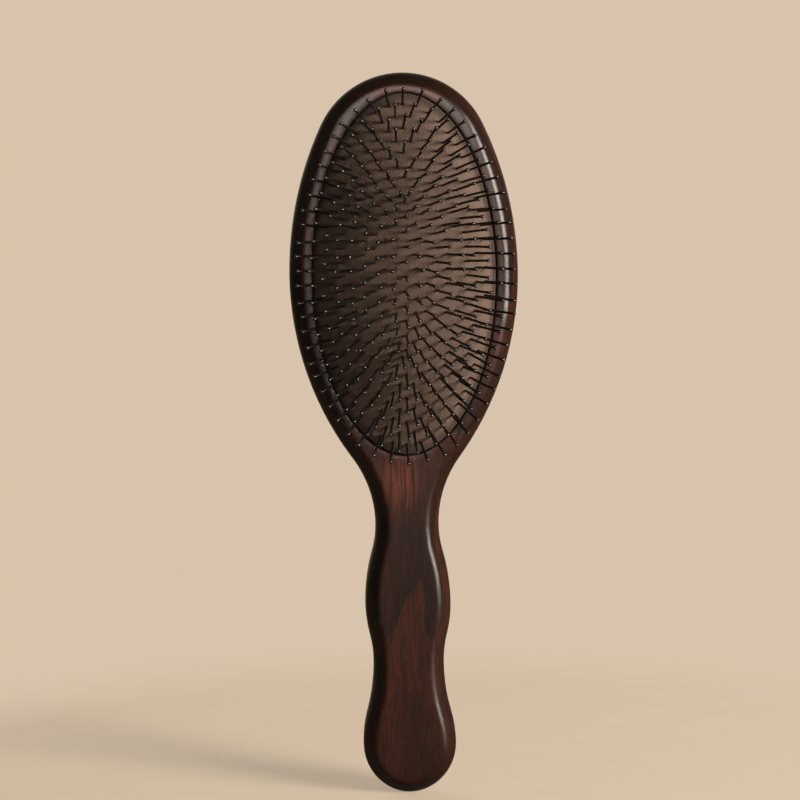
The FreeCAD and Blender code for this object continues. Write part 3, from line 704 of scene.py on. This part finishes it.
def make_pins(context, kind, node_prefix, finish, tips):
    """One mesh of wires or tips for each ring, in place of the ring's solids."""
    cushion, pins = context.scene.brush_cushion, context.scene.brush_pins
    dome = Dome(cushion)
    group, identifiers = pin_tree()
    for number, ring in enumerate(RINGS):
        half_width, half_length, count = ring_size(number, cushion, pins)
        values = {
            "Half Width": half_width, "Half Length": half_length, "Count": count, "Half Step": number % 2,
            "In A Row": not half_width, "Tips": tips, "Across Radius": dome.across, "Spine Radius": dome.spine,
            "Dome Centre": dome.centre, "Reach": pins.reach, "Root": cushion.membrane + pins.clearance,
            "Wire": pins.wire, "Ball": pins.ball, "Head": pins.head, "Head Thickness": pins.head_thickness,
            "Bend": pins.bend, "Lean": pins.lean, "Seed": pins.seed + number, "Material": finish,
        }
        piece = bpy.data.objects.new(f"{kind}_{ring}", bpy.data.meshes.new(f"{kind}_{ring}"))
        context.scene.collection.objects.link(piece)
        modifier = piece.modifiers.new("pins", "NODES")
        modifier.node_group = group
        for name, identifier in identifiers.items():
            modifier[identifier] = values[name]
        context.view_layer.update()
        graph = context.evaluated_depsgraph_get()
        made = bpy.data.meshes.new_from_object(piece.evaluated_get(graph), depsgraph=graph)
        piece.modifiers.clear()
        made.name = piece.name
        piece.data = made
        if not made.polygons:
            raise RuntimeError(f"{piece.name} has no faces")
        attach(piece, ring)
        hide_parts(f"{node_prefix}_{ring}")


COAT_GRAIN = (0.9,) * 3
COAT_RELIEF = 0.05 * MM
BEAD_GRAIN = (1.4,) * 3


def wire_finish(pins):
    """Black coated wire, with a slightly uneven coat."""
    material, tree, shader = new_material("black_coated_wire")
    place = object_mm(tree)
    uneven = tree.noise(tree.stretched(place, COAT_GRAIN), detail=3)
    base = tree.mixed(tree.ranged(uneven, 0.4, 0.7), pins.coating, tuple(2.2 * part for part in pins.coating))
    bump = tree.first("ShaderNodeBump", {"Strength": 0.1, "Distance": COAT_RELIEF, "Height": uneven})
    rough = tree.ranged(uneven, 0.3, 0.7, 0.42, 0.56)
    give(tree, shader, Base_Color=base, Roughness=rough, Normal=bump, Specular_IOR_Level=0.25)
    return material


def bead_finish(pins):
    """Glossy black beads."""
    material, tree, shader = new_material("glossy_black_bead")
    uneven = tree.noise(tree.stretched(object_mm(tree), BEAD_GRAIN), detail=2)
    base = tree.mixed(tree.ranged(uneven, 0.35, 0.7), pins.bead, tuple(2.0 * part for part in pins.bead))
    rough = tree.ranged(uneven, 0.3, 0.7, 0.04, 0.08)
    give(tree, shader, Base_Color=base, Roughness=rough, Specular_IOR_Level=0.8)
    return material


class DETANGLER_OT_pin_wires(bpy.types.Operator):
    """Sets the wire pins in oval rings, square to the cushion"""

    bl_idname = "detangler.pin_wires"
    bl_label = "Pin Wires"

    def execute(self, context):
        make_pins(context, "wires", "pin", wire_finish(context.scene.brush_pins), False)
        return {"FINISHED"}


class DETANGLER_OT_pin_tips(bpy.types.Operator):
    """Puts a ball tip on the end of each pin"""

    bl_idname = "detangler.pin_tips"
    bl_label = "Pin Tips"

    def execute(self, context):
        make_pins(context, "beads", "tip", bead_finish(context.scene.brush_pins), True)
        return {"FINISHED"}


# Stage

def backdrop_world(stage):
    """A pale backdrop for the camera; for the brush, light from the wall behind it and a dim room."""
    world = bpy.data.worlds.new("studio")
    world.use_nodes = True
    world.node_tree.nodes.clear()
    tree = Tree(world.node_tree)
    way = tree.add("ShaderNodeTexCoord").outputs["Generated"]
    behind = tree.ranged(tree.parts(way)[1], 0.45, 0.95, stage.ambient, stage.wall_light)
    dim = tree.first("ShaderNodeBackground", {"Color": (*stage.room, 1), "Strength": behind})
    pale = tree.first("ShaderNodeBackground", {"Color": (*stage.backdrop, 1), "Strength": 1.0})
    seen = tree.add("ShaderNodeLightPath").outputs["Is Camera Ray"]
    shown = tree.first("ShaderNodeMixShader", {0: seen, 1: dim, 2: pale})
    tree.add("ShaderNodeOutputWorld", {"Surface": shown})
    return world


FLOOR_SEGMENTS = 96
FLOOR_MOTTLE = 60.0


def floor_finish(stage):
    """A pale floor that takes on the backdrop's colour away from the brush."""
    material, tree, shader = new_material("pale_floor")
    place = tree.add("ShaderNodeTexCoord").outputs["Object"]
    mottle = tree.noise(place, scale=FLOOR_MOTTLE, detail=4)
    seen = tree.add("ShaderNodeLightPath").outputs["Is Camera Ray"]
    base = tree.mixed(mottle, stage.floor, tuple(0.94 * part for part in stage.floor))
    unseen = tuple(stage.floor_shade * part for part in stage.floor)
    give(tree, shader, Base_Color=tree.mixed(seen, unseen, base), Roughness=0.8, Specular_IOR_Level=0.0)
    away = tree.distance(tree.stretched(place, (1.0, 1.0, 0.0)))
    fade = tree.ranged(away, stage.shown_near, stage.shown_far)
    glow = tree.first("ShaderNodeEmission", {"Color": (*stage.backdrop, 1), "Strength": 1.0})
    fade = tree.math("MAXIMUM", fade, stage.floor_lift)
    fade = tree.math("MULTIPLY", fade, seen)
    shown = tree.first("ShaderNodeMixShader", {0: fade, 1: shader.outputs[0], 2: glow})
    output = next(node for node in tree.tree.nodes if node.type == "OUTPUT_MATERIAL")
    tree.tree.links.new(shown, output.inputs["Surface"])
    return material


def area_light(context, name, place, target, size, power, tint, matt=True, shiny=True):
    """A round soft light that the camera doesn't see, on matt surfaces, shiny ones or both."""
    light = bpy.data.lights.new(name, "AREA")
    light.shape = "DISK"
    light.size = size
    light.energy = power
    light.color = tint
    lamp = bpy.data.objects.new(name, light)
    lamp.location = place
    lamp.rotation_euler = (target - place).to_track_quat("-Z", "Y").to_euler()
    lamp.visible_camera = False
    lamp.visible_diffuse = matt
    lamp.visible_glossy = shiny
    context.scene.collection.objects.link(lamp)


def make_floor(context, stage):
    """A round floor under the butt end of the handle."""
    shape = bmesh.new()
    bmesh.ops.create_circle(shape, cap_ends=True, segments=FLOOR_SEGMENTS, radius=stage.floor_reach,
                            matrix=Matrix.Translation((0, 0, WOOD_LOW.z)))
    mesh = bpy.data.meshes.new("floor")
    shape.to_mesh(mesh)
    shape.free()
    floor = bpy.data.objects.new("floor", mesh)
    mesh.materials.append(floor_finish(stage))
    context.scene.collection.objects.link(floor)


def make_lights(context, stage):
    """The key light, and softer lights for the lacquer, the handle's edge and the back."""
    cushion = context.scene.brush_cushion
    pad = Vector((0, -cushion.front, cushion.middle))
    side, rise = stage.key_side, stage.key_rise
    way = Vector((math.sin(side) * math.cos(rise), -math.cos(side), math.sin(side) * math.sin(rise)))
    front, low, back = (Vector(place) for place in (stage.front_place, stage.low_place, stage.back_place))
    middle = Vector((0, 0, (WOOD_LOW.z + WOOD_HIGH.z) / 2))
    area_light(context, "key", pad + way * stage.key_distance, pad, stage.key_size, stage.key_power,
               stage.key_tint)
    area_light(context, "front", front, Vector((0, 0, front.z)), stage.front_size, stage.front_power,
               stage.front_tint, matt=False)
    area_light(context, "low", low, Vector((0, 0, low.z)), stage.low_size, stage.low_power,
               stage.key_tint, matt=False)
    area_light(context, "back", back, middle, stage.back_size, stage.back_power, stage.back_tint, shiny=False)


def make_camera(context, stage):
    """The camera, turned and rolled round the place that it looks at."""
    camera = bpy.data.cameras.new("camera")
    camera.lens = camera.sensor_width * stage.distance / stage.frame_height
    aim = Vector((stage.aim_across, 0, stage.aim_along))
    level = math.cos(stage.elevation)
    out = Vector((math.sin(stage.azimuth) * level, -math.cos(stage.azimuth) * level, math.sin(stage.elevation)))
    turn = (-out).to_track_quat("-Z", "Y") @ Euler((0, 0, -stage.roll)).to_quaternion()
    viewer = bpy.data.objects.new("camera", camera)
    viewer.location = aim + out * stage.distance
    viewer.rotation_euler = turn.to_euler()
    context.scene.collection.objects.link(viewer)
    context.scene.camera = viewer


class DETANGLER_OT_stage(bpy.types.Operator):
    """Makes the floor, the backdrop, the lights and the camera"""

    bl_idname = "detangler.stage"
    bl_label = "Stage"

    def execute(self, context):
        stage = context.scene.brush_stage
        context.scene.view_settings.view_transform = "Standard"
        context.scene.world = backdrop_world(stage)
        make_floor(context, stage)
        make_lights(context, stage)
        make_camera(context, stage)
        return {"FINISHED"}


OPERATORS = (
    DETANGLER_OT_wooden_body,
    DETANGLER_OT_cushion,
    DETANGLER_OT_pin_wires,
    DETANGLER_OT_pin_tips,
    DETANGLER_OT_stage,
)


class DETANGLER_PT_panel(bpy.types.Panel):
    """Lists the pieces of the brush"""

    bl_idname = "DETANGLER_PT_panel"
    bl_label = "Detangling Brush"
    bl_space_type = "VIEW_3D"
    bl_region_type = "UI"
    bl_category = "Brush"

    def draw(self, context):
        for operator in OPERATORS:
            self.layout.operator(operator.bl_idname)


CLASSES = (*SETTINGS.values(), *OPERATORS, DETANGLER_PT_panel)


def register():
    for kind in CLASSES:
        bpy.utils.register_class(kind)
    for name, kind in SETTINGS.items():
        setattr(bpy.types.Scene, name, PointerProperty(type=kind))


def unregister():
    for name in SETTINGS:
        delattr(bpy.types.Scene, name)
    for kind in reversed(CLASSES):
        bpy.utils.unregister_class(kind)


def main():
    register()
    bpy.ops.detangler.stage()
    bpy.ops.detangler.wooden_body()
    bpy.ops.detangler.cushion()
    bpy.ops.detangler.pin_wires()
    bpy.ops.detangler.pin_tips()


if __name__ == "__main__":
    main()
